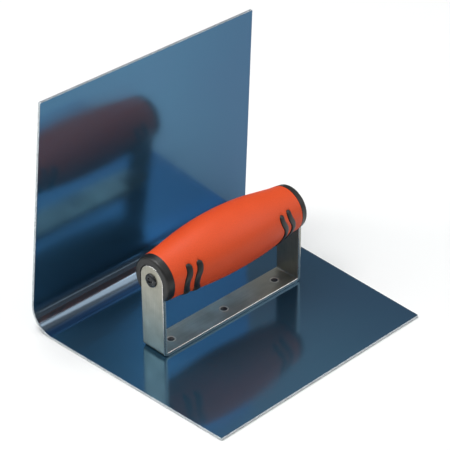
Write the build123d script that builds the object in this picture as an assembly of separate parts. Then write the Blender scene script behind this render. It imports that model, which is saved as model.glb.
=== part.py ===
from build123d import *
import math
import os

# An inside step trowel: a spring-steel sheet bent to an L, with a riveted strap bracket
# that carries a soft barrel grip parallel to the bend.
# Frame: +X along the bend and the grip, +Y towards the upright limb, +Z up.
# The origin is under the middle of the overall box. Millimetres and degrees.

# Driving dimensions: blade
blade_width = 172.8  # across the bend
free_edge_width = 161.1  # both limbs narrow to this
limb_length = 152.4  # free edge to the sharp outer corner, each limb
corner_angle = 85.0  # between the two limbs
bend_radius = 15.0  # outer face of the bend
blade_thickness = 1.5
blade_corner_radius = 0.8

# Driving dimensions: bracket
strap_width = 18.0
strap_thickness = 2.3
strap_bend_radius = 1.0  # inner face
bracket_length = 111.4  # over the legs' outer faces
bracket_setback = 69.7  # sharp outer corner to the strap's middle
bracket_shift = 2.0  # the bracket sits this far to the right of the blade's middle
axis_height = 50.7  # grip axis above the underside

# Driving dimensions: rivets
rivet_count = 3
rivet_end_distance = 13.3  # from a leg's outer face to the nearest rivet
rivet_radius = 2.4
rivet_head_radius = 3.7  # countersunk into the blade's working face
rivet_top_radius = 3.1  # closed into the strap
rivet_top_depth = 0.8
dimple_radius = 1.7
dimple_floor_radius = 0.6
dimple_depth = 1.0

# Driving dimensions: screws
screw_radius = 2.0
screw_length = 22.0  # under the head
screw_head_radius = 4.2
screw_head_height = 1.9
screw_head_side = 0.5  # straight side of the head, under its dome
cross_length = 4.6
cross_width = 1.1
cross_depth = 1.3

# Driving dimensions: handle
belly_radius = 19.05  # middle of the grip
waist_radius = 18.0
shoulder_radius = 16.1
mouth_radius = 14.4  # where the grip meets the collars
waist_share = 0.43  # places along half the grip, as shares of it
shoulder_share = 0.715
grip_rise = 1.1  # the grip's middle bows up by this
sleeve_thickness = 1.9
collar_width = 4.6
collar_radius = 13.9
collar_rounding = 1.5

# Driving dimensions: wavy ribs, which are the core showing through the sleeve
rib_setbacks = [10.0, 16.85]  # from a collar to the middle of each wave
rib_width = 3.5
rib_sway = 1.45  # half the sideways wave
rib_top = 7.7  # upper end of the wave above the grip axis
rib_quarter = 5.2  # height of a quarter wave
rib_tail = 3.8  # height of the last, shorter piece of the wave
rib_tail_sway = 1.2
rib_proud = 0.25

# Named clearances
rivet_gap = 0.03
screw_gap = 0.03  # in the core's pilot holes
screw_hole_gap = 0.3  # in the strap
slot_gap = 0.5  # beside the legs, in the handle's ends
pilot_run = 3.0  # pilot hole past the screw's end

# Derived sizes
bend_setback = bend_radius / math.tan(math.radians(corner_angle / 2))
corner_y = (limb_length + bend_setback - bend_radius) / 2
bracket_y = corner_y - bracket_setback
strap_top = blade_thickness + strap_thickness
leg_outer = bracket_length / 2
leg_inner = leg_outer - strap_thickness
grip_half = leg_outer - collar_width
rivet_pitch = 2 * (leg_outer - rivet_end_distance) / (rivet_count - 1)
reach = 2 * limb_length  # longer than anything that a cutter passes through


def limb():
    """The flat limb on the ground, from its free edge to the start of the bend."""
    front = corner_y - limb_length
    back = corner_y - bend_setback
    outline = Polyline(
        (-free_edge_width / 2, front),
        (free_edge_width / 2, front),
        (blade_width / 2, back),
        (-blade_width / 2, back),
        close=True,
    )
    plate = extrude(make_face(outline), blade_thickness)
    free_corners = plate.edges().filter_by(Axis.Z).group_by(Axis.Y)[0]
    return fillet(free_corners, blade_corner_radius)


def bend():
    """The rolled corner, from one tangent line to the other."""
    centre = (corner_y - bend_setback, bend_radius)
    outer = CenterArc(centre, bend_radius, -90, 180 - corner_angle)
    inner = CenterArc(centre, bend_radius - blade_thickness, -90, 180 - corner_angle)
    section = make_face([outer, Line(outer @ 1, inner @ 1), inner, Line(inner @ 0, outer @ 0)])
    return extrude(Plane.YZ * section, blade_width / 2, both=True)


def blade():
    """Two equal limbs and the bend between them. The upright mirrors the flat one."""
    halfway = math.radians(corner_angle / 2)
    normal = (0, -math.sin(halfway), -math.cos(halfway))
    base = limb()
    upright = mirror(base, about=Plane(origin=(0, corner_y, 0), z_dir=normal))
    sheet = base + bend() + upright
    for place in rivet_places():
        sheet -= place * rivet(gap=rivet_gap)
    return sheet


def rivet_places():
    first = bracket_shift - rivet_pitch * (rivet_count - 1) / 2
    return [Pos(first + i * rivet_pitch, bracket_y, 0) for i in range(rivet_count)]


def rivet(gap=0.0, dimpled=False):
    """A rivet flush at both ends, head down. With a gap it is the tool for its hole."""
    crown = [(rivet_top_radius + gap, strap_top)]
    if dimpled:
        crown.append((dimple_radius, strap_top))
        crown.append((dimple_floor_radius, strap_top - dimple_depth))
        crown.append((0, strap_top - dimple_depth))
    else:
        crown.append((0, strap_top))
    outline = Polyline(
        (0, 0),
        (rivet_head_radius + gap, 0),
        (rivet_radius + gap, blade_thickness),
        (rivet_radius + gap, strap_top - rivet_top_depth),
        *crown,
        close=True,
    )
    return revolve(make_face(Plane.XZ * outline), Axis.Z)


def bracket():
    """One strap bent to a U, with half-round leg tops."""
    leg_top = axis_height + strap_width / 2
    outer = FilletPolyline(
        (-leg_outer, leg_top),
        (-leg_outer, blade_thickness),
        (leg_outer, blade_thickness),
        (leg_outer, leg_top),
        radius=strap_bend_radius + strap_thickness,
    )
    inner = FilletPolyline(
        (-leg_inner, leg_top),
        (-leg_inner, strap_top),
        (leg_inner, strap_top),
        (leg_inner, leg_top),
        radius=strap_bend_radius,
    )
    section = make_face([outer, Line(outer @ 1, inner @ 1), inner, Line(inner @ 0, outer @ 0)])
    strap = extrude(Plane.XZ * section, strap_width / 2, both=True)
    strap &= Pos(0, 0, axis_height) * leg_outline(strap_width / 2)
    strap = Pos(bracket_shift, bracket_y, 0) * strap
    for place in rivet_places():
        strap -= place * rivet(gap=rivet_gap)
    return strap - place_handle(bar(screw_radius + screw_hole_gap, reach))


def leg_outline(half_width):
    """The legs' outline along X: straight sides and a half-round top about the grip axis."""
    stem = Pos(0, -axis_height / 2) * Rectangle(2 * half_width, axis_height)
    return extrude(Plane.YZ * (stem + Circle(half_width)), reach, both=True)


def bar(radius, length):
    return Cylinder(radius, length, rotation=(0, 90, 0))


def place_handle(shape):
    """Moves a shape made about the origin to the grip axis."""
    return Pos(bracket_shift, bracket_y, axis_height) * shape


def barrel(inset):
    """The bowed barrel of the grip between the collars, smaller all round by inset."""
    stations = [
        (-1, mouth_radius),
        (-shoulder_share, shoulder_radius),
        (-waist_share, waist_radius),
        (0, belly_radius),
        (waist_share, waist_radius),
        (shoulder_share, shoulder_radius),
        (1, mouth_radius),
    ]
    rings = []
    for share, radius in stations:
        middle = (share * grip_half, 0, grip_rise * (1 - share**2))
        rings.append(Plane(middle, x_dir=(0, 1, 0), z_dir=(1, 0, 0)) * Circle(radius - inset))
    return loft(rings)


def collar():
    """The right-hand end of the core, past the sleeve, with a rounded rim."""
    rim_start = (leg_outer - collar_rounding, collar_radius)
    rim_end = (leg_outer, collar_radius - collar_rounding)
    rim = TangentArc(rim_start, rim_end, tangent=(1, 0))
    rest = Polyline(rim_end, (leg_outer, 0), (grip_half, 0), (grip_half, mouth_radius), rim_start)
    return revolve(Plane.XZ * make_face([rim, rest]), Axis.X)


def rib_fences():
    """Wavy bands seen from the front, cut through from front to back, two at each end."""
    levels = [rib_top - i * rib_quarter for i in range(4)]
    slope = 2 * math.atan(rib_sway / rib_quarter)
    fences = []
    for side in (-1, 1):
        for setback in rib_setbacks:
            place = grip_half - setback
            inner = side * (place - rib_sway)
            outer = side * (place + rib_sway)
            upper = (side * place, levels[1])
            lower = (side * place, levels[3])
            end = (side * (place - rib_tail_sway), levels[3] - rib_tail)
            heading = (-side * math.sin(slope), -math.cos(slope))
            wave = Wire(
                [
                    TangentArc((inner, levels[0]), upper, tangent=(0, -1)),
                    ThreePointArc(upper, (outer, levels[2]), lower),
                    TangentArc(lower, end, tangent=heading),
                ]
            )
            band = make_face(wave.offset_2d(rib_width / 2, side=Side.BOTH))
            fences.append(extrude(Plane.XZ * band, reach, both=True))
    return fences


def end_slots():
    """The recess in each end of the handle that a leg lies in."""
    legs = leg_outline(strap_width / 2 + slot_gap)
    return legs - Box(2 * leg_inner, reach, reach)


def handle_core():
    """The hard core: a slimmer barrel, two collars, the ribs and the recessed ends."""
    right = collar()
    core = barrel(sleeve_thickness) + right + mirror(right, about=Plane.YZ)
    skin = barrel(-rib_proud)
    for fence in rib_fences():
        core += fence & skin
    core -= end_slots()
    pilot_depth = screw_length + pilot_run
    for side in (-1, 1):
        middle = side * (leg_outer - pilot_depth / 2)
        core -= Pos(middle, 0, 0) * bar(screw_radius + screw_gap, pilot_depth)
    return place_handle(core)


def grip_sleeve():
    """The soft sleeve moulded over the core between its collars, open at the ribs."""
    sleeve = barrel(0) - barrel(sleeve_thickness)
    for fence in rib_fences():
        sleeve -= fence
    return place_handle(sleeve)


def handle_screw():
    """The right-hand screw: a domed head on the leg and a plain shank into the core."""
    head_top = leg_outer + screw_head_height
    side_end = (leg_outer + screw_head_side, screw_head_radius)
    dome = TangentArc((head_top, 0), side_end, tangent=(0, 1))
    rest = Polyline(
        side_end,
        (leg_outer, screw_head_radius),
        (leg_outer, screw_radius),
        (leg_outer - screw_length, screw_radius),
        (leg_outer - screw_length, 0),
        (head_top, 0),
    )
    screw = revolve(Plane.XZ * make_face([dome, rest]), Axis.X)
    depth_middle = head_top - cross_depth / 2
    for length, width in ((cross_length, cross_width), (cross_width, cross_length)):
        screw -= Pos(depth_middle, 0, 0) * Box(cross_depth, length, width)
    return screw


def save(name, shape):
    export_step(shape, f"parts/{name}.step")


def main():
    os.makedirs("parts", exist_ok=True)
    screw = handle_screw()
    screws = [place_handle(screw), place_handle(mirror(screw, about=Plane.YZ))]
    rivets = [place * rivet(dimpled=True) for place in rivet_places()]
    save("blade", blade())
    save("handle_bracket", bracket())
    save("bracket_rivets", Compound(children=rivets))
    save("handle_core", handle_core())
    save("grip_sleeve", grip_sleeve())
    save("handle_screws", Compound(children=screws))


main()
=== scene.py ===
import math

import bmesh
import bpy
import numpy as np
from mathutils import Matrix, Vector


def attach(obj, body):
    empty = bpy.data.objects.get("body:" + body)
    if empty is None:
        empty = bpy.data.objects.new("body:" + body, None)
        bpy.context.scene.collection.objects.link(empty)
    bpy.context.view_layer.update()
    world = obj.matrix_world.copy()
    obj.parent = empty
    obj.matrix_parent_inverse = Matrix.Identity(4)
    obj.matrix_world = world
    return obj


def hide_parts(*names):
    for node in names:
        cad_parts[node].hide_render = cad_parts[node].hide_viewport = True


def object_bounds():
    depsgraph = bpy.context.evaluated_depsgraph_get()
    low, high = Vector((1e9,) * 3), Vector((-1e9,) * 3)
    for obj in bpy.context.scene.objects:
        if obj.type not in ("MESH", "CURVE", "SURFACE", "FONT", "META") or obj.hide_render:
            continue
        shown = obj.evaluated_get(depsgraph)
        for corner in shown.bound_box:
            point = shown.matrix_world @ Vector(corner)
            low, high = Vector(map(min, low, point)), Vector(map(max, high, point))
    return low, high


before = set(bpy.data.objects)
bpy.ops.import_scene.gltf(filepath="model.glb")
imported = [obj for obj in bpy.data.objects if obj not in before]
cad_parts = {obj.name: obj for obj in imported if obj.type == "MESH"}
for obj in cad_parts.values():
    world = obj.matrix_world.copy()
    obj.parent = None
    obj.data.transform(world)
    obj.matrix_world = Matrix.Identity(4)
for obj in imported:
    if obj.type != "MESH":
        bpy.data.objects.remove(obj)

bpy.context.view_layer.update()
cadLow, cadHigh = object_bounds()
middle = (cadLow + cadHigh) / 2
mm = 0.001
hair = 1e-9  # slack for rounding errors, in metres
fineRelief = 0.05 * mm  # depth of every bump pattern


# small helpers for materials and meshes

def linearColour(hexText):
    # sRGB hex to the linear colour that the shader sockets take
    parts = [int(hexText[i:i + 2], 16) / 255 for i in (1, 3, 5)]
    linear = [p / 12.92 if p <= 0.04045 else ((p + 0.055) / 1.055) ** 2.4 for p in parts]
    return (*linear, 1.0)


def twoColours(first, second):
    # settings of a colour mix
    return {"data_type": "RGBA", 6: linearColour(first), 7: linearColour(second)}


def roughnessRange(values):
    # settings of a range that carries a pattern's 0 to 1 over the roughness, down where the spread is negative
    middleValue, spread = values["roughness"], values["roughnessSpread"]
    return {3: middleValue - spread, 4: middleValue + spread}


def addNode(tree, kind, settings=None, links=None):
    # one node: settings go to its attributes or, by socket name or number, to its inputs
    node = tree.nodes.new(kind)
    for key, value in (settings or {}).items():
        if isinstance(key, str) and hasattr(node, key):
            setattr(node, key, value)
        else:
            node.inputs[key].default_value = value
    for key, source in (links or {}).items():
        tree.links.new(source, node.inputs[key])
    return node


def startMaterial(name):
    material = bpy.data.materials.new(name)
    material.use_nodes = True
    material.node_tree.nodes.clear()
    return material, material.node_tree


def endMaterial(material, settings, links=None, height=None, bump=0.0, invert=False):
    # the surface shader with its settings and links, and where a height is given a fine bump from it
    tree, links = material.node_tree, dict(links or {})
    if height is not None:
        relief = addNode(tree, "ShaderNodeBump", {"Strength": bump, "Distance": fineRelief, "invert": invert},
                         {"Height": height})
        links["Normal"] = relief.outputs[0]
    shader = addNode(tree, "ShaderNodeBsdfPrincipled", settings, links)
    addNode(tree, "ShaderNodeOutputMaterial", links={"Surface": shader.outputs[0]})
    return material


def gridFaces(index, closed=False):
    # quads between the rows and columns of an array of vertex numbers
    # closed joins the last column to the first
    if closed:
        index = np.concatenate([index, index[:, :1]], axis=1)
    quads = np.stack([index[:-1, :-1], index[:-1, 1:], index[1:, 1:], index[1:, :-1]], axis=-1)
    return quads.reshape(-1, 4)


def smoothStep(low, high, value):
    # 0 below low, 1 above high, and an S-shaped cubic between
    share = np.clip((value - low) / (high - low), 0, 1)
    return share * share * (3 - 2 * share)


def addPiece(name, points, faces, materials, replaced=None, finishes=None, blank=None,
             sharpAngle=35):
    # a closed mesh in the frame's own place, riding on the one body; unused points are dropped
    # finishes numbers each face's material, and blank is each point's place on the sheet before it is folded
    used, numbers = np.unique(np.concatenate([np.ravel(f) for f in faces]), return_inverse=True)
    sizes = [len(f) for f in faces]
    ends = np.cumsum(sizes)
    numbers = numbers.tolist()
    mesh = bpy.data.meshes.new(name)
    mesh.from_pydata(np.asarray(points)[used].tolist(), [],
                     [numbers[end - size:end] for size, end in zip(sizes, ends)])
    for material in materials:
        mesh.materials.append(material)
    if finishes is not None:
        mesh.polygons.foreach_set("material_index", np.asarray(finishes, np.int32))
    if blank is not None:
        layer = mesh.attributes.new("blank", "FLOAT_VECTOR", "POINT")
        layer.data.foreach_set("vector", np.asarray(blank, np.float32)[used].ravel())
    work = bmesh.new()
    work.from_mesh(mesh)
    if work.calc_volume(signed=True) < 0:
        bmesh.ops.reverse_faces(work, faces=work.faces)
    work.to_mesh(mesh)
    work.free()
    mesh.polygons.foreach_set("use_smooth", np.ones(len(mesh.polygons), bool))
    mesh.update()
    mesh.set_sharp_from_angle(angle=math.radians(sharpAngle))
    piece = bpy.data.objects.new(name, mesh)
    bpy.context.scene.collection.objects.link(piece)
    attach(piece, "root")
    if replaced:
        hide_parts(replaced)
    print("built", name, "with", len(mesh.polygons), "faces")
    return piece


# camera: its azimuth is from -Y towards +X, and it looks at a point near the tool's middle

cameraValues = dict(azimuth=-44.120, elevation=32.632, roll=-0.406, distance=1.0145,
                    aimFromMiddle=(-0.00487, -0.00140, -0.00685), lens=144.25, sensor=36.0, clip=(0.05, 30))


def addCamera(values):
    azimuth, elevation, roll = (math.radians(values[k]) for k in ("azimuth", "elevation", "roll"))
    back = Vector((math.sin(azimuth) * math.cos(elevation),
                   -math.cos(azimuth) * math.cos(elevation), math.sin(elevation)))
    level = Vector((math.cos(azimuth), math.sin(azimuth), 0))
    right = level * math.cos(roll) + back.cross(level) * math.sin(roll)
    data = bpy.data.cameras.new("camera")
    data.lens, data.sensor_width = values["lens"], values["sensor"]
    data.clip_start, data.clip_end = values["clip"]
    camera = bpy.data.objects.new("camera", data)
    bpy.context.scene.collection.objects.link(camera)
    place = Matrix((right, back.cross(right), back)).transposed().to_4x4()
    place.translation = middle + Vector(values["aimFromMiddle"]) + back * values["distance"]
    camera.matrix_world = place
    bpy.context.scene.camera = camera


# studio: a pale floor, soft boxes and a dim room that the polished blade mirrors

studioValues = dict(floorSize=2.4, floorDrop=0.1 * mm, floorColour="#f4f4f2", floorRoughness=0.9,
                    floorSpecular=0.2, seenWorld="#ffffff",
                    # the room's tones, each from the sine of its height above the horizon
                    room=[(0.20, "#62656a"), (0.55, "#85888d"), (0.59, "#a6a9ae"), (0.635, "#b4b7bc"),
                          (0.69, "#86898e"), (0.90, "#8c8f94")])
softBoxes = [
    # name, azimuth from +Y towards +X, elevation, distance, width, height, radiance
    ("overhead", -40, 74, 1.5, 1.3, 1.0, 5.1),
    ("backLeft", -46, 32, 1.6, 0.8, 0.6, 3.6),
    ("frontRight", 130, 29, 1.6, 0.6, 0.7, 3.1),
    ("rightFill", 113, 48, 1.6, 0.92, 0.44, 1.9),
    ("frontLeft", -140, 40, 1.7, 0.9, 0.8, 0.4),
]


def addStudio(values):
    size = values["floorSize"] / 2
    height = cadLow.z - values["floorDrop"]
    mesh = bpy.data.meshes.new("floor")
    corners = [(-size, -size), (size, -size), (size, size), (-size, size)]
    mesh.from_pydata([(x, y, height) for x, y in corners], [], [(0, 1, 2, 3)])
    floor = bpy.data.objects.new("floor", mesh)
    bpy.context.scene.collection.objects.link(floor)
    paper = startMaterial("matteStudioPaper")[0]
    mesh.materials.append(endMaterial(paper, {"Base Color": linearColour(values["floorColour"]),
                                              "Roughness": values["floorRoughness"],
                                              "Specular IOR Level": values["floorSpecular"]}))

    world = bpy.data.worlds.new("studio")
    bpy.context.scene.world = world
    world.use_nodes = True
    tree = world.node_tree
    tree.nodes.clear()
    where = addNode(tree, "ShaderNodeTexCoord")
    apart = addNode(tree, "ShaderNodeSeparateXYZ", links={0: where.outputs["Generated"]})
    ramp = addNode(tree, "ShaderNodeValToRGB", links={"Fac": apart.outputs["Z"]})
    stops = ramp.color_ramp.elements
    while len(stops) < len(values["room"]):
        stops.new(0.5)  # placed below
    for stop, (place, colour) in zip(stops, values["room"]):
        stop.position, stop.color = place, linearColour(colour)
    # past the floor's edge the background is as white as the floor
    path = addNode(tree, "ShaderNodeLightPath")
    choose = addNode(tree, "ShaderNodeMix", {"data_type": "RGBA", 7: linearColour(values["seenWorld"])},
                     {0: path.outputs["Is Camera Ray"], 6: ramp.outputs["Color"]})
    sky = addNode(tree, "ShaderNodeBackground", links={"Color": choose.outputs[2]})
    addNode(tree, "ShaderNodeOutputWorld", links={"Surface": sky.outputs[0]})


def addSoftBox(name, azimuth, elevation, distance, width, height, radiance):
    azimuth, elevation = math.radians(azimuth), math.radians(elevation)
    toLight = Vector((math.sin(azimuth) * math.cos(elevation),
                      math.cos(azimuth) * math.cos(elevation), math.sin(elevation)))
    data = bpy.data.lights.new(name, "AREA")
    data.shape = "RECTANGLE"
    data.size, data.size_y = width, height
    data.energy = radiance * math.pi * width * height
    light = bpy.data.objects.new(name, data)
    bpy.context.scene.collection.objects.link(light)
    light.rotation_mode = "QUATERNION"
    light.rotation_quaternion = toLight.to_track_quat("Z", "Y")
    light.location = middle + toLight * distance
    light.visible_camera = False


addCamera(cameraValues)
addStudio(studioValues)
for softBox in softBoxes:
    addSoftBox(*softBox)
bpy.context.scene.view_settings.view_transform = "Standard"
print("camera, floor and lights are in place")


# sheet metal: a flat blank with rounded edges and punched holes, folded along its length

def roundedInset(edge, rounding):
    # how far a face drops at a distance from the edge: a quarter circle
    return rounding - np.sqrt(rounding ** 2 - np.clip(rounding - edge, 0, rounding) ** 2)


def edgeSteps(rounding, further):
    # distances from an edge: five over a quarter turn of its rounding, then those further in
    return np.concatenate([rounding * (1 - np.cos(np.radians([0, 25, 45, 65, 90]))), further])


def foldPath(along, start, heading, runs, turn, radius):
    # a path in a plane: straight runs joined by left-hand arcs of the outer face
    # along is the distance from its start, and the result is points and inward normals
    place, angle = np.array(start, float), math.radians(heading)
    point = np.zeros((*along.shape, 2))
    normal = np.zeros_like(point)
    reached = 0.0
    turn = math.radians(turn)
    for number, run in enumerate(runs):
        forward = np.array([math.cos(angle), math.sin(angle)])
        left = np.array([-forward[1], forward[0]])
        here = along >= reached - hair
        point[here] = place + (along[here] - reached)[:, None] * forward
        normal[here] = left
        place, reached = place + run * forward, reached + run
        if number == len(runs) - 1:
            break
        centre = place + radius * left
        here = along >= reached - hair
        swing = np.clip((along[here] - reached) / radius, 0, turn)
        outward = -np.cos(swing)[:, None] * left + np.sin(swing)[:, None] * forward
        point[here], normal[here] = centre + radius * outward, -outward
        angle += turn
        place = centre + radius * np.array([math.sin(angle), -math.cos(angle)])
        reached += radius * turn
    return point, normal


def borderOf(grid):
    # the values round a block's border, once round
    return np.concatenate([grid[0, :-1], grid[:-1, -1], grid[-1, :0:-1], grid[:0:-1, 0]])


def punchedSheet(across, along, edge, thickness, rounding, holes):
    # points (across, along, depth) of a blank from grids of the first two and of the distance to the edge
    # a hole is rows, columns, its centre, and rings of radius and depth from the outer face to the inner one;
    # its faces are one tube from the block's border on the outer face to the same border on the inner face
    rows, columns = across.shape
    inset = roundedInset(edge, rounding)
    points = [np.stack([across, along, inset], axis=-1).reshape(-1, 3),
              np.stack([across, along, thickness - inset], axis=-1).reshape(-1, 3)]
    outer = np.arange(rows * columns).reshape(rows, columns)
    inner = outer + rows * columns
    keep = np.ones((rows - 1, columns - 1), bool)
    count = 2 * rows * columns
    tubes = []
    towardsHole = (0.35, 0.7)  # rings between the block's border and the hole
    for (firstRow, lastRow), (firstColumn, lastColumn), centre, rings in holes:
        keep[firstRow:lastRow, firstColumn:lastColumn] = False
        block = np.s_[firstRow:lastRow + 1, firstColumn:lastColumn + 1]
        x, y = borderOf(across[block]) - centre[0], borderOf(along[block]) - centre[1]
        reach, turn = np.hypot(x, y), np.arctan2(y, x)
        tube = [borderOf(outer[block])]
        levels = [(reach * (1 - share) + rings[0][0] * share, 0.0) for share in towardsHole]
        levels += [(np.full_like(reach, radius), depth) for radius, depth in rings]
        levels += [(reach * (1 - share) + rings[-1][0] * share, thickness) for share in towardsHole[::-1]]
        for radius, depth in levels:
            ring = np.stack([centre[0] + radius * np.cos(turn), centre[1] + radius * np.sin(turn),
                             np.full_like(turn, depth)], axis=-1)
            points.append(ring)
            tube.append(np.arange(count, count + len(ring)))
            count += len(ring)
        tube.append(borderOf(inner[block]))
        tubes.append(gridFaces(np.stack(tube), closed=True))
    # both faces without their holes, the four sides, and the holes' tubes
    faces = np.concatenate([gridFaces(outer)[keep.ravel()], gridFaces(inner[:, ::-1])[keep[:, ::-1].ravel()],
                            gridFaces(np.stack([inner[0], outer[0]])),
                            gridFaces(np.stack([outer[-1], inner[-1]])),
                            gridFaces(np.stack([inner[:, 0], outer[:, 0]], axis=1)),
                            gridFaces(np.stack([outer[:, -1], inner[:, -1]], axis=1)), *tubes])
    points = np.concatenate(points)
    fromEdge = np.full(len(points), np.inf)
    fromEdge[:2 * rows * columns] = np.tile(edge.ravel(), 2)
    # a face's finish: 0 the sheet's own, 1 the cut side, 2 the rounded arris beside it
    rounded = (fromEdge[faces] <= rounding * 1.01).all(axis=1)
    cut = (fromEdge[faces] < hair).all(axis=1)
    return points, faces, np.where(cut, 1, np.where(rounded, 2, 0))


def foldSheet(points, pathValues, place, turned=False):
    # lays the blank's points along the fold path; turned puts the path in the X-Z plane instead of Y-Z
    path, normal = foldPath(points[:, 1], **pathValues)
    folded = path + normal * points[:, 2:3]
    if turned:
        return np.stack([folded[:, 0] + place[0], points[:, 0] + place[1], folded[:, 1]], axis=1)
    return np.stack([points[:, 0] + place[0], folded[:, 0] + place[1], folded[:, 1]], axis=1)


# places on the tool that several pieces share

toolValues = dict(bracketX=2.0 * mm, bracketY=7.185 * mm, axisHeight=50.7 * mm, rivetPitch=42.4 * mm,
                  bladeThickness=1.5 * mm, strapTop=3.8 * mm, legOuter=55.7 * mm, gripHalf=51.1 * mm)

# blade: blued spring steel

bladeShape = dict(limb=152.4 * mm, angle=85, bendRadius=15 * mm, thickness=1.5 * mm, width=172.8 * mm,
                  freeWidth=161.1 * mm, cornerRadius=0.8 * mm, rounding=0.2 * mm,
                  # radius and depth of a rivet's countersunk hole, from the working face in
                  sink=[(3.72 * mm, 0), (2.42 * mm, 1.5 * mm)],
                  # the mesh: a block round each hole, the clear space beside it, and steps in from the edges
                  cell=5.6 * mm, cellSteps=8, rowGap=8 * mm, columnGap=9 * mm, endGap=12 * mm, bendGap=1 * mm,
                  cornerSteps=[0.35 * mm, 0.55 * mm, 0.8 * mm, 2 * mm, 5 * mm], rimSteps=[0.5 * mm, 1.2 * mm],
                  sideShare=0.97, frontRows=12, behindRows=8, bendRows=36, upperRows=24, columns=5)
bladeFinish = dict(colour="#3d7696", drift="#426f93", cloudSize=60 * mm, metallic=0.74, roughness=0.12,
                   roughnessSpread=0.025, coat=0.3, coatRoughness=0.2,
                   paintedSideShade="#d3dee8", paintedShadeFrom=-10 * mm, paintedShadeTo=86 * mm,  # painted shade, darker towards one side
                   rollGrey="#687988", greyRise=(2 * mm, 7 * mm), greyFall=(-8 * mm, 0),
                   # painted shade: a darker band where the bend starts
                   bendStartShade="#7f8798", startRise=(-4 * mm, 1 * mm), startFall=(4 * mm, 7 * mm),
                   # painted shade: the flat limb greyer and darker than the upright
                   footPaintedShade="#ffe9e0", footFade=20 * mm, wipeSize=9 * mm, wipeStretch=0.12,
                   grainSize=0.6 * mm, bump=0.02)
edgeFinish = dict(colour="#d8dee1", dark="#7f868a", metallic=0.85, roughness=0.36, shearSize=0.6 * mm,
                  bump=0.15)


def bandMask(tree, along, low, rise, high, fall):
    # 0 outside a band along the sheet and 1 inside it; rise is measured from low and fall from high
    up = addNode(tree, "ShaderNodeMapRange",
                 {"interpolation_type": "SMOOTHSTEP", 1: low + rise[0], 2: low + rise[1]}, {0: along})
    down = addNode(tree, "ShaderNodeMapRange",
                   {"interpolation_type": "SMOOTHSTEP", 1: high + fall[0], 2: high + fall[1], 3: 1.0, 4: 0.0},
                   {0: along})
    band = addNode(tree, "ShaderNodeMath", {"operation": "MULTIPLY"}, {0: up.outputs[0], 1: down.outputs[0]})
    return band.outputs[0]


def bluedSpringSteel(values, rollLow, rollHigh):
    # polished spring steel under a thin blue temper oxide and oil: a deep, slightly cloudy blue mirror
    # the oxide drifts in clouds, and rolling the bend has left it grey there; painted shade darkens it
    # towards one side, on the flat limb and in a band where the bend starts
    material, tree = startMaterial("bluedSpringSteel")
    where = addNode(tree, "ShaderNodeAttribute", {"attribute_name": "blank"}).outputs["Vector"]
    apart = addNode(tree, "ShaderNodeSeparateXYZ", links={0: where})
    across, along = apart.outputs["X"], apart.outputs["Y"]
    cloud = addNode(tree, "ShaderNodeTexNoise", {"Scale": 1 / values["cloudSize"], "Detail": 2.0},
                    {"Vector": where})
    colour = addNode(tree, "ShaderNodeMix",
                     twoColours(values["colour"], values["drift"]), {0: cloud.outputs["Fac"]})
    grey = bandMask(tree, along, rollLow, values["greyRise"], rollHigh, values["greyFall"])
    colour = addNode(tree, "ShaderNodeMix", {"data_type": "RGBA", 7: linearColour(values["rollGrey"])},
                     {0: grey, 6: colour.outputs[2]})
    # painted shade: a band where the bend starts, darker than the rest
    start = bandMask(tree, along, rollLow, values["startRise"], rollLow, values["startFall"])
    # painted shade: darker towards one side of the sheet
    side = addNode(tree, "ShaderNodeMapRange", {"interpolation_type": "SMOOTHSTEP", 1: values["paintedShadeFrom"],
                                                2: values["paintedShadeTo"]}, {0: across}).outputs[0]
    # painted shade: greyer and darker on the flat limb
    footShade = addNode(tree, "ShaderNodeMapRange",
                   {"interpolation_type": "SMOOTHSTEP", 1: rollLow - values["footFade"], 2: rollLow,
                    3: 1.0, 4: 0.0}, {0: along}).outputs[0]
    # each mask multiplies its painted shade into the colour
    for share, tint in ((start, "bendStartShade"), (side, "paintedSideShade"), (footShade, "footPaintedShade")):
        colour = addNode(tree, "ShaderNodeMix",
                         {"data_type": "RGBA", "blend_type": "MULTIPLY", 7: linearColour(values[tint])},
                         {0: share, 6: colour.outputs[2]})
    # long wipe marks and a fine rolling grain, both across the sheet, change how sharp the mirror is
    stretch = addNode(tree, "ShaderNodeMapping", {"Scale": (values["wipeStretch"], 1.0, 1.0)},
                      {"Vector": where})
    wipe = addNode(tree, "ShaderNodeTexNoise", {"Scale": 1 / values["wipeSize"], "Detail": 3.0},
                   {"Vector": stretch.outputs[0]})
    rough = addNode(tree, "ShaderNodeMapRange", {1: 0.3, 2: 0.7, **roughnessRange(values)},
                    {0: wipe.outputs["Fac"]})
    grain = addNode(tree, "ShaderNodeTexNoise", {"Scale": 1 / values["grainSize"], "Detail": 1.0},
                    {"Vector": stretch.outputs[0]})
    return endMaterial(material, {"Metallic": values["metallic"], "Coat Weight": values["coat"],
                                  "Coat Roughness": values["coatRoughness"]},
                       {"Base Color": colour.outputs[2], "Roughness": rough.outputs[0]},
                       grain.outputs["Fac"], values["bump"])


def shearedSteelEdge(values):
    # the sheet's cut edge: bare bright steel with the short dark marks of the shear
    material, tree = startMaterial("shearedSteelEdge")
    where = addNode(tree, "ShaderNodeTexCoord").outputs["Object"]
    marks = addNode(tree, "ShaderNodeTexNoise", {"Scale": 1 / values["shearSize"], "Detail": 3.0},
                    {"Vector": where})
    tone = addNode(tree, "ShaderNodeMapRange", {1: 0.35, 2: 0.6}, {0: marks.outputs["Fac"]})
    colour = addNode(tree, "ShaderNodeMix", twoColours(values["dark"], values["colour"]), {0: tone.outputs[0]})
    return endMaterial(material, {"Metallic": values["metallic"], "Roughness": values["roughness"]},
                       {"Base Color": colour.outputs[2]}, marks.outputs["Fac"], values["bump"])


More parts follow.
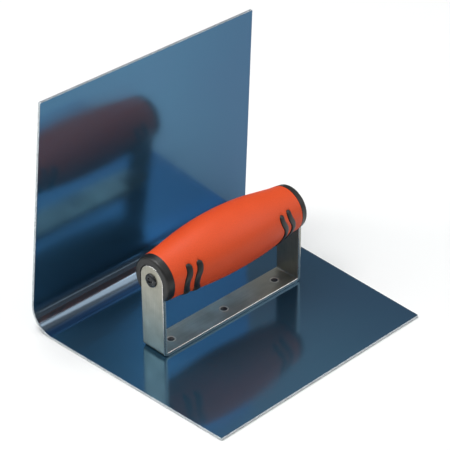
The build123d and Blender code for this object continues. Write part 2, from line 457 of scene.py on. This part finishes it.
def bladePiece(values):
    # across runs over the width, which narrows towards both free edges; along runs over the bend
    bendTurn = 180 - values["angle"]
    setback = values["bendRadius"] / math.tan(math.radians(values["angle"] / 2))
    run = values["limb"] - setback
    arc = values["bendRadius"] * math.radians(bendTurn)
    total = 2 * run + arc
    rivetAlong = toolValues["bracketY"] - cadLow.y
    cell = np.linspace(-values["cell"], values["cell"], values["cellSteps"] + 1)
    corner = edgeSteps(values["rounding"], values["cornerSteps"])
    endGap, rowGap, bendGap = values["endGap"], values["rowGap"], values["bendGap"]
    along = np.concatenate([corner, np.linspace(endGap, rivetAlong - rowGap, values["frontRows"]),
                            rivetAlong + cell,
                            np.linspace(rivetAlong + rowGap, run - bendGap, values["behindRows"]),
                            np.linspace(run, run + arc, values["bendRows"] + 1),
                            np.linspace(run + arc + bendGap, total - endGap, values["upperRows"]),
                            total - corner[::-1]])
    firstRow = len(corner) + values["frontRows"]
    fromEnd = np.minimum(along, total - along)
    plain = np.interp(fromEnd, [0, run], [values["freeWidth"] / 2, values["width"] / 2])
    half = plain - roundedInset(fromEnd, values["cornerRadius"])
    # columns: fixed distances in from each side edge, and shares of the width between them
    rim = edgeSteps(values["rounding"], values["rimSteps"])
    rivetHalf = np.interp(rivetAlong, [0, run], [values["freeWidth"] / 2, values["width"] / 2])
    rivetsX = toolValues["bracketX"] + toolValues["rivetPitch"] * np.array([-1, 0, 1])
    sideShare, columnGap = values["sideShare"], values["columnGap"]
    parts = [np.linspace(-sideShare, (rivetsX[0] - rowGap) / rivetHalf, values["columns"])]
    gapEnds = [*(rivetsX[1:] - columnGap), sideShare * rivetHalf]
    firstColumns = []
    for x, gapEnd in zip(rivetsX, gapEnds):
        firstColumns.append(len(rim) + sum(len(p) for p in parts))
        parts += [(x + cell) / rivetHalf, np.linspace(x + columnGap, gapEnd, values["columns"]) / rivetHalf]
    shares = np.concatenate(parts)
    across = np.concatenate([-half[:, None] + rim[None, :], plain[:, None] * shares[None, :],
                             half[:, None] - rim[None, ::-1]], axis=1)
    along = np.repeat(along[:, None], across.shape[1], axis=1)
    edge = np.minimum(half[:, None] - np.abs(across), fromEnd[:, None])
    holes = [((firstRow, firstRow + values["cellSteps"]), (column, column + values["cellSteps"]),
              (x, rivetAlong), values["sink"]) for column, x in zip(firstColumns, rivetsX)]
    blank, faces, finishes = punchedSheet(across, along, np.clip(edge, 0, None), values["thickness"],
                                          values["rounding"], holes)
    points = foldSheet(blank, dict(start=(0, 0), heading=0, runs=(run, run), turn=bendTurn,
                                   radius=values["bendRadius"]), (0, cadLow.y))
    cut = shearedSteelEdge(edgeFinish)
    return addPiece("bladeSheet", points, faces, [bluedSpringSteel(bladeFinish, run, run + arc), cut, cut],
                    "blade", finishes, blank)


bladePiece(bladeShape)

# bracket: one steel strap

strapShape = dict(thickness=2.3 * mm, width=18 * mm, innerBend=1.0 * mm, rounding=0.35 * mm,
                  # radius and depth of the holes from the outer face to the inner one
                  rivetHole=[(2.42 * mm, 0), (2.42 * mm, 1.48 * mm), (3.12 * mm, 1.52 * mm),
                             (3.12 * mm, 2.3 * mm)],
                  screwHole=[(2.3 * mm, 0), (2.3 * mm, 2.3 * mm)],
                  # the mesh: a block round each hole, the clear space beside it, and steps in from the edges
                  cell=5.0 * mm, cellSteps=8, rivetGap=9 * mm, footGap=5.8 * mm, legGap=4 * mm, bendGap=1 * mm,
                  warped=19 * mm, topSteps=[0.8 * mm, 1.8 * mm], rimSteps=[0.7 * mm, 1.4 * mm, 2.6 * mm],
                  bendRows=8, rows=4, footRows=2)
strapFinish = dict(colour="#c0bdae", dark="#a4a294", metallic=0.8, roughness=0.4, roughnessSpread=-0.06,
                   streakSize=0.7 * mm, streakStretch=0.04, streakShare=0.45, scaleSize=14 * mm, bump=0.06)
# the strap's cut side: bare steel, toned darker as painted shade
strapEdgeShadedFinish = dict(edgeFinish, colour="#a5a59e", dark="#74746f", roughness=0.28)
# the rounded arris: bare steel lightened almost to white as a painted highlight
strapArrisHighlightFinish = dict(edgeFinish, colour="#f2f2ee", dark="#c9c9c4", roughness=0.24)


def satinStripSteel(values):
    # hot-rolled strip cleaned by tumbling: satin grey, faint drawn streaks along the strip, cloudy patches
    material, tree = startMaterial("satinStripSteel")
    where = addNode(tree, "ShaderNodeAttribute", {"attribute_name": "blank"}).outputs["Vector"]
    stretch = addNode(tree, "ShaderNodeMapping", {"Scale": (1.0, values["streakStretch"], 1.0)},
                      {"Vector": where})
    streak = addNode(tree, "ShaderNodeTexNoise", {"Scale": 1 / values["streakSize"], "Detail": 3.0},
                     {"Vector": stretch.outputs[0]})
    patch = addNode(tree, "ShaderNodeTexNoise", {"Scale": 1 / values["scaleSize"], "Detail": 4.0},
                    {"Vector": where})
    both = addNode(tree, "ShaderNodeMath", {"operation": "MULTIPLY_ADD", 1: values["streakShare"]},
                   {0: streak.outputs["Fac"], 2: patch.outputs["Fac"]})
    tone = addNode(tree, "ShaderNodeMapRange", {1: 0.5, 2: 0.95}, {0: both.outputs[0]})
    colour = addNode(tree, "ShaderNodeMix", twoColours(values["dark"], values["colour"]), {0: tone.outputs[0]})
    rough = addNode(tree, "ShaderNodeMapRange", roughnessRange(values), {0: tone.outputs[0]})
    return endMaterial(material, {"Metallic": values["metallic"]},
                       {"Base Color": colour.outputs[2], "Roughness": rough.outputs[0]},
                       streak.outputs["Fac"], values["bump"])


def strapPiece(values):
    # across runs over the strap's width; along runs down one leg, over the foot and up the other leg
    # the rows near each end bend to the half-round top: each lies at a share of the way from the top to a
    # straight row
    halfWidth = values["width"] / 2
    legTop = toolValues["axisHeight"] + halfWidth
    outerBend = values["innerBend"] + values["thickness"]
    legRun = legTop - toolValues["bladeThickness"] - outerBend
    footRun = 2 * (toolValues["legOuter"] - outerBend)
    footStart = legRun + outerBend * math.pi / 2
    total = 2 * footStart + footRun
    middleAlong, pitch, steps = total / 2, toolValues["rivetPitch"], values["cellSteps"]
    cell = np.linspace(-values["cell"], values["cell"], steps + 1)
    rim = edgeSteps(values["rounding"], values["rimSteps"])
    columns = np.concatenate([-halfWidth + rim, cell, halfWidth - rim[::-1]])
    # shares of the warped zone, with a block for the screw hole
    warped = values["warped"]
    shares = np.concatenate([edgeSteps(values["rounding"], values["topSteps"]) / warped,
                             (halfWidth + cell) / warped,
                             np.linspace((halfWidth + cell[-1]) / warped, 1, values["rows"] + 1)[1:]])
    screwRow = len(shares) - values["rows"] - len(cell)
    topEdge = halfWidth - np.sqrt(np.clip(halfWidth ** 2 - columns ** 2, 0, None))
    end = topEdge[None, :] + shares[:, None] * (warped - topEdge[None, :])
    # straight rows: the leg, the bend, the foot with a block for each rivet, and the same again backwards
    bendGap, footGap, rivetGap = values["bendGap"], values["footGap"], values["rivetGap"]
    straight = [np.linspace(warped + values["legGap"], legRun - bendGap, values["rows"]),
                np.linspace(legRun, footStart, values["bendRows"] + 1),
                np.linspace(footStart + bendGap, middleAlong - pitch - footGap, values["footRows"])]
    firstRows = []
    for number in (-1, 0, 1):
        rivetAlong = middleAlong + number * pitch
        firstRows.append(len(shares) + sum(len(p) for p in straight))
        straight.append(rivetAlong + cell)
        if number < 1:
            straight.append(np.linspace(rivetAlong + rivetGap, middleAlong + (number + 1) * pitch - rivetGap,
                                        values["rows"]))
    straight.append(np.linspace(middleAlong + pitch + footGap, total - footStart - bendGap, values["footRows"]))
    straight += [total - part[::-1] for part in straight[1::-1]]
    between = np.repeat(np.concatenate(straight)[:, None], len(columns), axis=1)
    along = np.concatenate([end, between, total - end[::-1]])
    across = np.repeat(columns[None, :], len(along), axis=0)
    overTop = np.clip(halfWidth - np.minimum(along, total - along), 0, None)
    edge = np.clip(halfWidth - np.hypot(across, overTop), 0, None)
    span = (len(rim), len(rim) + steps)
    holes = [((row, row + steps), span, (0, middleAlong + n * pitch), values["rivetHole"])
             for row, n in zip(firstRows, (-1, 0, 1))]
    lastBlock = len(along) - 1 - screwRow - steps
    holes += [((screwRow, screwRow + steps), span, (0, halfWidth), values["screwHole"]),
              ((lastBlock, lastBlock + steps), span, (0, total - halfWidth), values["screwHole"])]
    blank, faces, finishes = punchedSheet(across, along, edge, values["thickness"], values["rounding"], holes)
    points = foldSheet(blank, dict(start=(-toolValues["legOuter"], legTop), heading=-90,
                                   runs=(legRun, footRun, legRun), turn=90, radius=outerBend),
                       (toolValues["bracketX"], toolValues["bracketY"]), turned=True)
    # the strap's cut sides carry painted shade and its arrises a painted highlight, over bare steel
    steels = [satinStripSteel(strapFinish), shearedSteelEdge(strapEdgeShadedFinish),
              shearedSteelEdge(strapArrisHighlightFinish)]
    return addPiece("bracketStrap", points, faces, steels, "handle_bracket", finishes, blank)


strapPiece(strapShape)

# rivets and screws: turned shapes

rivetShape = dict(head=3.68 * mm, headInset=0.1 * mm, headSide=0.08 * mm, shank=2.38 * mm, crown=3.08 * mm,
                  crownStart=3.02 * mm, crownStep=0.02 * mm, lip=0.3 * mm, pit=2.0 * mm, pitFloor=0.7 * mm,
                  pitDepth=1.0 * mm, pitFlare=0.35 * mm, flareShare=0.85, steps=48)
# the dark colour is painted shade in the rivets' pits
rivetFinish = dict(colour="#dcdacf", dark="#54585b", metallic=0.6, roughness=0.42, smoother=0.1, rougher=0.15,
                   grain=0.5 * mm, pitFrom=0.35 * mm, pitTo=0.02 * mm, headBelow=0.5 * mm, bump=0.2)
screwShape = dict(head=4.2 * mm, height=1.88 * mm, side=0.5 * mm, domeShare=0.98, rimEdge=0.06 * mm,
                  shank=2.0 * mm, length=22.0 * mm, tip=0.5 * mm, cross=2.3 * mm, arm=0.55 * mm,
                  depth=1.25 * mm, floorRise=0.35, soft=0.22 * mm, leftSpin=20, rightSpin=65, rings=44,
                  steps=128)
screwFinish = dict(colour="#404244", worn="#8b8e90", metallic=0.9, roughness=0.3, roughnessSpread=0.12,
                   grain=0.8 * mm, bump=0.15)


def closeRings(rings, firstPole, lastPole):
    # points and faces of stacked rings about the Z axis, closed by a fan to a pole at each end
    count, steps = rings.shape[0] * rings.shape[1], rings.shape[1]
    points = np.concatenate([rings.reshape(-1, 3), [[0, 0, firstPole], [0, 0, lastPole]]])
    index = np.arange(count).reshape(-1, steps)
    following = np.roll(index, -1, axis=1)
    first = np.stack([np.full(steps, count), following[0], index[0]], axis=-1)
    last = np.stack([np.full(steps, count + 1), index[-1], following[-1]], axis=-1)
    return points, gridFaces(index, closed=True).tolist() + first.tolist() + last.tolist()


def turnedShape(profile, steps):
    # a closed shape of turning: radius and height from one pole to the other, carried round the axis
    profile = np.array(profile)
    turn = np.linspace(0, 2 * math.pi, steps, endpoint=False)
    ring = profile[1:-1]
    body = np.stack([ring[:, :1] * np.cos(turn), ring[:, :1] * np.sin(turn),
                     np.repeat(ring[:, 1:], steps, axis=1)], axis=-1)
    return closeRings(body, profile[0, 1], profile[-1, 1])


def joinShapes(shapes):
    # several meshes as one list of points and faces
    points, faces, count = [], [], 0
    for shapePoints, shapeFaces in shapes:
        points.append(shapePoints)
        faces += [[n + count for n in face] for face in shapeFaces]
        count += len(shapePoints)
    return np.concatenate(points), faces


def platedRivetSteel(values, top):
    # plated steel: bright where the crown is rolled over, with painted shade down in the pit
    material, tree = startMaterial("platedRivetSteel")
    where = addNode(tree, "ShaderNodeTexCoord").outputs["Object"]
    apart = addNode(tree, "ShaderNodeSeparateXYZ", links={0: where})
    # painted shade: dark down in the pit, light up on the crown
    outsidePitShade = addNode(tree, "ShaderNodeMapRange", {"interpolation_type": "SMOOTHSTEP", 1: top - values["pitFrom"],
                                                 2: top - values["pitTo"]}, {0: apart.outputs["Z"]})
    below = addNode(tree, "ShaderNodeMath", {"operation": "LESS_THAN", 1: values["headBelow"]},
                    {0: apart.outputs["Z"]})
    share = addNode(tree, "ShaderNodeMath", {"operation": "MAXIMUM"},
                    {0: outsidePitShade.outputs[0], 1: below.outputs[0]})
    grain = addNode(tree, "ShaderNodeTexNoise", {"Scale": 1 / values["grain"], "Detail": 3.0},
                    {"Vector": where})
    colour = addNode(tree, "ShaderNodeMix", twoColours(values["dark"], values["colour"]), {0: share.outputs[0]})
    rough = addNode(tree, "ShaderNodeMapRange", {3: values["roughness"] - values["smoother"],
                                                 4: values["roughness"] + values["rougher"]},
                    {0: grain.outputs["Fac"]})
    return endMaterial(material, {"Metallic": values["metallic"]},
                       {"Base Color": colour.outputs[2], "Roughness": rough.outputs[0]},
                       grain.outputs["Fac"], values["bump"])


def blackOxideSteel(values):
    # black-oxide screw steel: near black, a soft shine, and greyer specks where the driver has rubbed
    material, tree = startMaterial("blackOxideSteel")
    where = addNode(tree, "ShaderNodeTexCoord").outputs["Object"]
    grain = addNode(tree, "ShaderNodeTexNoise", {"Scale": 1 / values["grain"], "Detail": 4.0},
                    {"Vector": where})
    specks = addNode(tree, "ShaderNodeMapRange", {"interpolation_type": "SMOOTHSTEP", 1: 0.56, 2: 0.72},
                     {0: grain.outputs["Fac"]})
    colour = addNode(tree, "ShaderNodeMix", twoColours(values["colour"], values["worn"]),
                     {0: specks.outputs[0]})
    rough = addNode(tree, "ShaderNodeMapRange", roughnessRange(values), {0: grain.outputs["Fac"]})
    return endMaterial(material, {"Metallic": values["metallic"]},
                       {"Base Color": colour.outputs[2], "Roughness": rough.outputs[0]},
                       grain.outputs["Fac"], values["bump"])


def rivetPiece(values):
    # head flush below, tapered neck, crown closed over in the strap with a rolled lip round a pit
    top, lip = toolValues["strapTop"], values["lip"]
    bend = np.radians([0, 30, 60, 90])
    profile = [(0, 0), (values["head"] - values["headInset"], 0), (values["head"], values["headSide"]),
               (values["shank"], toolValues["bladeThickness"]),
               (values["shank"], values["crownStart"] - values["crownStep"]),
               (values["crown"], values["crownStart"])]
    profile += [(values["crown"] - lip + lip * math.cos(a), top - lip + lip * math.sin(a)) for a in bend]
    profile += [(values["pit"] + lip - lip * math.sin(a), top - lip + lip * math.cos(a)) for a in bend]
    profile += [(values["pitFloor"] + values["pitFlare"], top - values["flareShare"] * values["pitDepth"]),
                (values["pitFloor"], top - values["pitDepth"]), (0, top - values["pitDepth"])]
    points, faces = turnedShape(profile, values["steps"])
    places = [(toolValues["bracketX"] + n * toolValues["rivetPitch"], toolValues["bracketY"], 0)
              for n in (-1, 0, 1)]
    points, faces = joinShapes([(points + np.array(place), faces) for place in places])
    return addPiece("bracketRivets", points, faces, [platedRivetSteel(rivetFinish, top)],
                    "bracket_rivets")


def screwPiece(values):
    # the head's height is a dome less a cross: two soft-edged bars, each a product of smooth steps
    # polar rings, closer together outwards, then a turned rim and shank
    head, height, side, shank, length = (values[k] for k in ("head", "height", "side", "shank", "length"))
    arm, cross, soft, rimEdge, tip = (values[k] for k in ("arm", "cross", "soft", "rimEdge", "tip"))
    turn = np.linspace(0, 2 * math.pi, values["steps"], endpoint=False)
    radius = head * np.sqrt(np.linspace(0, 1, values["rings"]))[1:, None]
    x, y = radius * np.cos(turn), radius * np.sin(turn)
    dome = side + (height - side) * np.sqrt(np.clip(1 - (radius / head) ** 2 * values["domeShare"], 0, None))

    def bar(a, b):
        return ((1 - smoothStep(arm - soft, arm + soft, np.abs(a)))
                * (1 - smoothStep(cross - 2 * soft, cross + soft, np.abs(b))))

    sunk = np.maximum(bar(x, y), bar(y, x)) * (1 - values["floorRise"] * (radius / cross).clip(0, 1))
    top = np.stack([x, y, dome - values["depth"] * sunk], axis=-1)
    under = [(head, side * 0.5), (head, rimEdge), (head - rimEdge, 0), (shank, 0), (shank, tip - length),
             (shank - tip, -length)]
    rest = [np.stack([r * np.cos(turn), r * np.sin(turn), np.full_like(turn, h)], axis=-1) for r, h in under]
    points, faces = closeRings(np.concatenate([top, np.stack(rest)]), height - values["depth"], -length)
    # the left screw looks to -X and the right one to +X
    shapes = []
    for way, spin in ((-1, math.radians(values["leftSpin"])), (1, math.radians(values["rightSpin"]))):
        a = points[:, 0] * math.cos(spin) - points[:, 1] * math.sin(spin)
        b = points[:, 0] * math.sin(spin) + points[:, 1] * math.cos(spin)
        placed = np.stack([toolValues["bracketX"] + way * (toolValues["legOuter"] + points[:, 2]),
                           toolValues["bracketY"] + way * a, toolValues["axisHeight"] + b], axis=1)
        shapes.append((placed, faces))
    points, faces = joinShapes(shapes)
    return addPiece("handleScrews", points, faces, [blackOxideSteel(screwFinish)],
                    "handle_screws")


rivetPiece(rivetShape)
screwPiece(screwShape)

# grip: a soft barrel sleeve with the hard core's wavy ribs standing through it

gripShape = dict(stations=[(0, 19.05 * mm), (0.43, 18.0 * mm), (0.715, 16.1 * mm), (1, 14.4 * mm)],
                 rise=1.1 * mm, sleeve=1.9 * mm, endRounding=0.5 * mm, lip=0.5 * mm, trench=0.9 * mm,
                 # the mesh: where along and round the grip it is fine enough for the ribs, and the rest
                 ribZone=(31 * mm, 45 * mm), ribTurns=(58, 152), ribReach=6 * mm, fineStep=0.25 * mm,
                 turnRadius=17 * mm, wideStep=1.6 * mm, endGap=1.2 * mm, endRows=5, underTurns=12, overTurns=22,
                 innerStep=6)
ribShape = dict(setbacks=(10.0 * mm, 16.85 * mm), halfWidth=1.75 * mm, overWidth=1.01, sway=1.45 * mm,
                top=7.7 * mm, quarter=5.2 * mm, tail=3.8 * mm, tailSway=1.2 * mm, arcSteps=(14, 26, 10),
                base=0.22 * mm, dome=0.36 * mm, sunk=0.8 * mm, acrossSteps=13, capSteps=8, capFrom=8)
gripFinish = dict(colour="#e04a13", worn="#e8521d", dark="#c6400f", poreShade=0.35, roughness=0.52,
                  roughnessSpread=0.08, specular=0.42, stipple=0.55 * mm, cloud=16 * mm, bump=0.25)
coreFinish = dict(colour="#131312", dust="#232320", roughness=0.4, roughnessSpread=0.1, grain=0.5 * mm,
                  cloud=9 * mm, bump=0.12)


def barrelRadius(share):
    # an even polynomial of the sixth degree through the four stations
    places, radii = np.array(gripShape["stations"]).T
    powers = np.stack([places ** k for k in (0, 2, 4, 6)], axis=1)
    factors = np.linalg.solve(powers, radii)
    return sum(f * np.asarray(share) ** k for f, k in zip(factors, (0, 2, 4, 6)))


def arcBetween(start, end, leaving, count):
    # an arc from start to end that leaves along a direction
    start, chord = np.array(start), np.array(end) - np.array(start)
    leaving = np.array(leaving) / np.hypot(*leaving)
    left = np.array([-leaving[1], leaving[0]])
    bend = 2 * chord.dot(left) / chord.dot(chord)
    swing = np.linspace(0, 2 * math.atan2(chord.dot(left), chord.dot(leaving)), count)[:, None]
    return start + (np.sin(swing) * leaving + (1 - np.cos(swing)) * left) / bend


def ribLine(side, setback):
    # the middle of a wave in the X-Z plane about the grip's centre: three arcs, each from the last one's end
    values = ribShape
    place = toolValues["gripHalf"] - setback
    levels = [values["top"] - n * values["quarter"] for n in range(4)]
    slope = 2 * math.atan(values["sway"] / values["quarter"])
    steps = values["arcSteps"]
    first = arcBetween((side * (place - values["sway"]), levels[0]), (side * place, levels[1]), (0, -1),
                       steps[0])
    outward, inward = (math.sin(slope), -math.cos(slope)), (-math.sin(slope), -math.cos(slope))
    second = arcBetween(first[-1], (side * place, levels[3]), (side * outward[0], outward[1]), steps[1])
    tail = (side * (place - values["tailSway"]), levels[3] - values["tail"])
    third = arcBetween(second[-1], tail, (side * inward[0], inward[1]), steps[2])
    return np.concatenate([first, second[1:], third[1:]])


def softElastomer(values):
    # moulded thermoplastic rubber: matte, finely stippled, a little lighter where hands polish it
    material, tree = startMaterial("softElastomer")
    where = addNode(tree, "ShaderNodeTexCoord").outputs["Object"]
    cloud = addNode(tree, "ShaderNodeTexNoise", {"Scale": 1 / values["cloud"], "Detail": 3.0},
                    {"Vector": where})
    colour = addNode(tree, "ShaderNodeMix", twoColours(values["colour"], values["worn"]),
                     {0: cloud.outputs["Fac"]})
    stipple = addNode(tree, "ShaderNodeTexVoronoi", {"Scale": 1 / values["stipple"]}, {"Vector": where})
    # painted shade: the stipple's dips are darkened towards the dark colour
    pores = addNode(tree, "ShaderNodeMapRange", {1: 0.1, 2: 0.8, 3: 0.0, 4: values["poreShade"]},
                    {0: stipple.outputs["Distance"]})
    shaded = addNode(tree, "ShaderNodeMix", {"data_type": "RGBA", 7: linearColour(values["dark"])},
                     {0: pores.outputs[0], 6: colour.outputs[2]})
    rough = addNode(tree, "ShaderNodeMapRange", roughnessRange(values), {0: cloud.outputs["Fac"]})
    return endMaterial(material, {"Specular IOR Level": values["specular"]},
                       {"Base Color": shaded.outputs[2], "Roughness": rough.outputs[0]},
                       stipple.outputs["Distance"], values["bump"], invert=True)


def mouldedNylon(values):
    # glass-filled nylon: near black with a fine spark-eroded grain and a dusting of grey
    material, tree = startMaterial("mouldedNylon")
    where = addNode(tree, "ShaderNodeTexCoord").outputs["Object"]
    cloud = addNode(tree, "ShaderNodeTexNoise", {"Scale": 1 / values["cloud"], "Detail": 5.0},
                    {"Vector": where})
    colour = addNode(tree, "ShaderNodeMix", twoColours(values["colour"], values["dust"]),
                     {0: cloud.outputs["Fac"]})
    grain = addNode(tree, "ShaderNodeTexNoise", {"Scale": 1 / values["grain"], "Detail": 2.0},
                    {"Vector": where})
    rough = addNode(tree, "ShaderNodeMapRange", roughnessRange(values), {0: grain.outputs["Fac"]})
    return endMaterial(material, {}, {"Base Color": colour.outputs[2], "Roughness": rough.outputs[0]},
                       grain.outputs["Fac"], values["bump"])


def onBarrel(x, height, proud, front):
    # a point of the barrel at x and height above the grip's axis, standing proud of it, on its front or rear
    share = x / toolValues["gripHalf"]
    rise = gripShape["rise"] * (1 - share ** 2)
    radius = barrelRadius(share) + proud
    depth = np.sqrt(np.clip(radius ** 2 - (height - rise) ** 2, 0, None))
    return np.stack([toolValues["bracketX"] + x, toolValues["bracketY"] - front * depth,
                     toolValues["axisHeight"] + height], axis=-1)


def sleevePiece(values):
    # a closed tube: stations along the barrel by turns round it, outside then inside
    # near a rib the skin rolls down a rounded lip into a trench that the rib stands in
    half, fine, wide = toolValues["gripHalf"], values["fineStep"], values["wideStep"]
    low, high = values["ribZone"]
    right = np.concatenate([np.arange(wide, low, wide), np.arange(low, high, fine),
                            np.linspace(high, half - values["endGap"], values["endRows"]),
                            half - edgeSteps(values["endRounding"], [])[::-1]])
    x = np.concatenate([-right[::-1], [0.0], right])
    # turns from the top: fine over the front ribs and the rear ones, and wide underneath and over the top
    first, last = (math.radians(turn) for turn in values["ribTurns"])
    front = np.arange(first, last, fine / values["turnRadius"])
    under = np.linspace(front[-1], 2 * math.pi - front[-1], values["underTurns"])[1:-1]
    over = np.linspace(-front[0], front[0], values["overTurns"])[1:-1]
    turn = np.concatenate([front, under, (2 * math.pi - front)[::-1], over])
    share = x / half
    radius = barrelRadius(share)[:, None]
    rise = (values["rise"] * (1 - share ** 2))[:, None]
    height = rise + radius * np.cos(turn)
    # the gap to the nearest rib, measured in the X-Z plane that the ribs' lines are drawn in
    gap = np.full((len(x), len(turn)), 1.0)
    for side in (-1, 1):
        for setback in ribShape["setbacks"]:
            line = ribLine(side, setback)
            near = np.abs(x - side * (half - setback)) < values["ribReach"]
            away = np.hypot(x[near][:, None, None] - line[:, 0], height[near][:, :, None] - line[:, 1])
            gap[near] = np.minimum(gap[near], away.min(axis=-1) - ribShape["halfWidth"])
    dip = np.where(gap > 0, roundedInset(gap, values["lip"]), values["trench"])
    endDip = roundedInset(half - np.abs(x), values["endRounding"])[:, None]
    outer = radius - np.maximum(dip, endDip)
    inner = np.repeat(radius - values["sleeve"], len(turn), axis=1)
    # the inside goes back through every few stations and ends at the first
    back = np.arange(len(x))[::-values["innerStep"]]
    if back[-1] != 0:
        back = np.append(back, 0)
    rings = np.concatenate([outer, inner[back]])
    xs = np.concatenate([x, x[back]])[:, None]
    rises = np.concatenate([rise, rise[back]])
    points = np.stack([np.broadcast_to(toolValues["bracketX"] + xs, rings.shape),
                       toolValues["bracketY"] - rings * np.sin(turn),
                       toolValues["axisHeight"] + rises + rings * np.cos(turn)], axis=-1)
    index = np.arange(rings.size).reshape(rings.shape)
    faces = gridFaces(np.concatenate([index, index[:1]]), closed=True)
    return addPiece("gripSleeve", points.reshape(-1, 3), faces, [softElastomer(gripFinish)],
                    "grip_sleeve", sharpAngle=60)


def ribsPiece(values, material):
    # each rib is a low dome over its line: across it the height follows a half ellipse, and its ends are round
    shapes = []
    across = np.sin(np.radians(np.linspace(-90, 90, values["acrossSteps"])))
    caps = values["capSteps"]
    cap = np.radians(np.linspace(90, values["capFrom"], caps))
    width = values["halfWidth"] * values["overWidth"]
    for side in (-1, 1):
        for setback in values["setbacks"]:
            line = ribLine(side, setback)
            ahead = np.gradient(line, axis=0)
            ahead /= np.hypot(ahead[:, 0], ahead[:, 1])[:, None]
            middleLine = np.concatenate([line[0] - ahead[0] * width * np.sin(cap)[:, None], line,
                                         line[-1] + ahead[-1] * width * np.sin(cap[::-1])[:, None]])
            ahead = np.concatenate([np.repeat(ahead[:1], caps, axis=0), ahead,
                                    np.repeat(ahead[-1:], caps, axis=0)])
            share = np.concatenate([np.cos(cap), np.ones(len(line)), np.cos(cap[::-1])]).clip(0.02, 1)[:, None]
            sideways = np.stack([ahead[:, 1], -ahead[:, 0]], axis=1)
            flat = middleLine[:, None] + sideways[:, None] * (width * share * across)[..., None]
            proud = values["base"] * np.sqrt(share) + values["dome"] * share * np.sqrt(1 - across ** 2)
            for front in (-1, 1):
                top = onBarrel(flat[..., 0], flat[..., 1], proud, front)
                below = onBarrel(flat[..., 0], flat[..., 1], -values["sunk"], front)
                loops = np.concatenate([top, below[:, ::-1]], axis=1)
                index = np.arange(loops.shape[0] * loops.shape[1]).reshape(loops.shape[:2])
                faces = gridFaces(index, closed=True).tolist() + [index[0][::-1].tolist(), index[-1].tolist()]
                if front < 0:
                    faces = [face[::-1] for face in faces]
                shapes.append((loops.reshape(-1, 3), faces))
    points, faces = joinShapes(shapes)
    return addPiece("gripRibs", points, faces, [material])


nylon = mouldedNylon(coreFinish)
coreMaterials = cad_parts["handle_core"].data.materials
coreMaterials.clear()
coreMaterials.append(nylon)
sleevePiece(gripShape)
ribsPiece(ribShape, nylon)

bpy.context.view_layer.update()
print("the tool is complete")
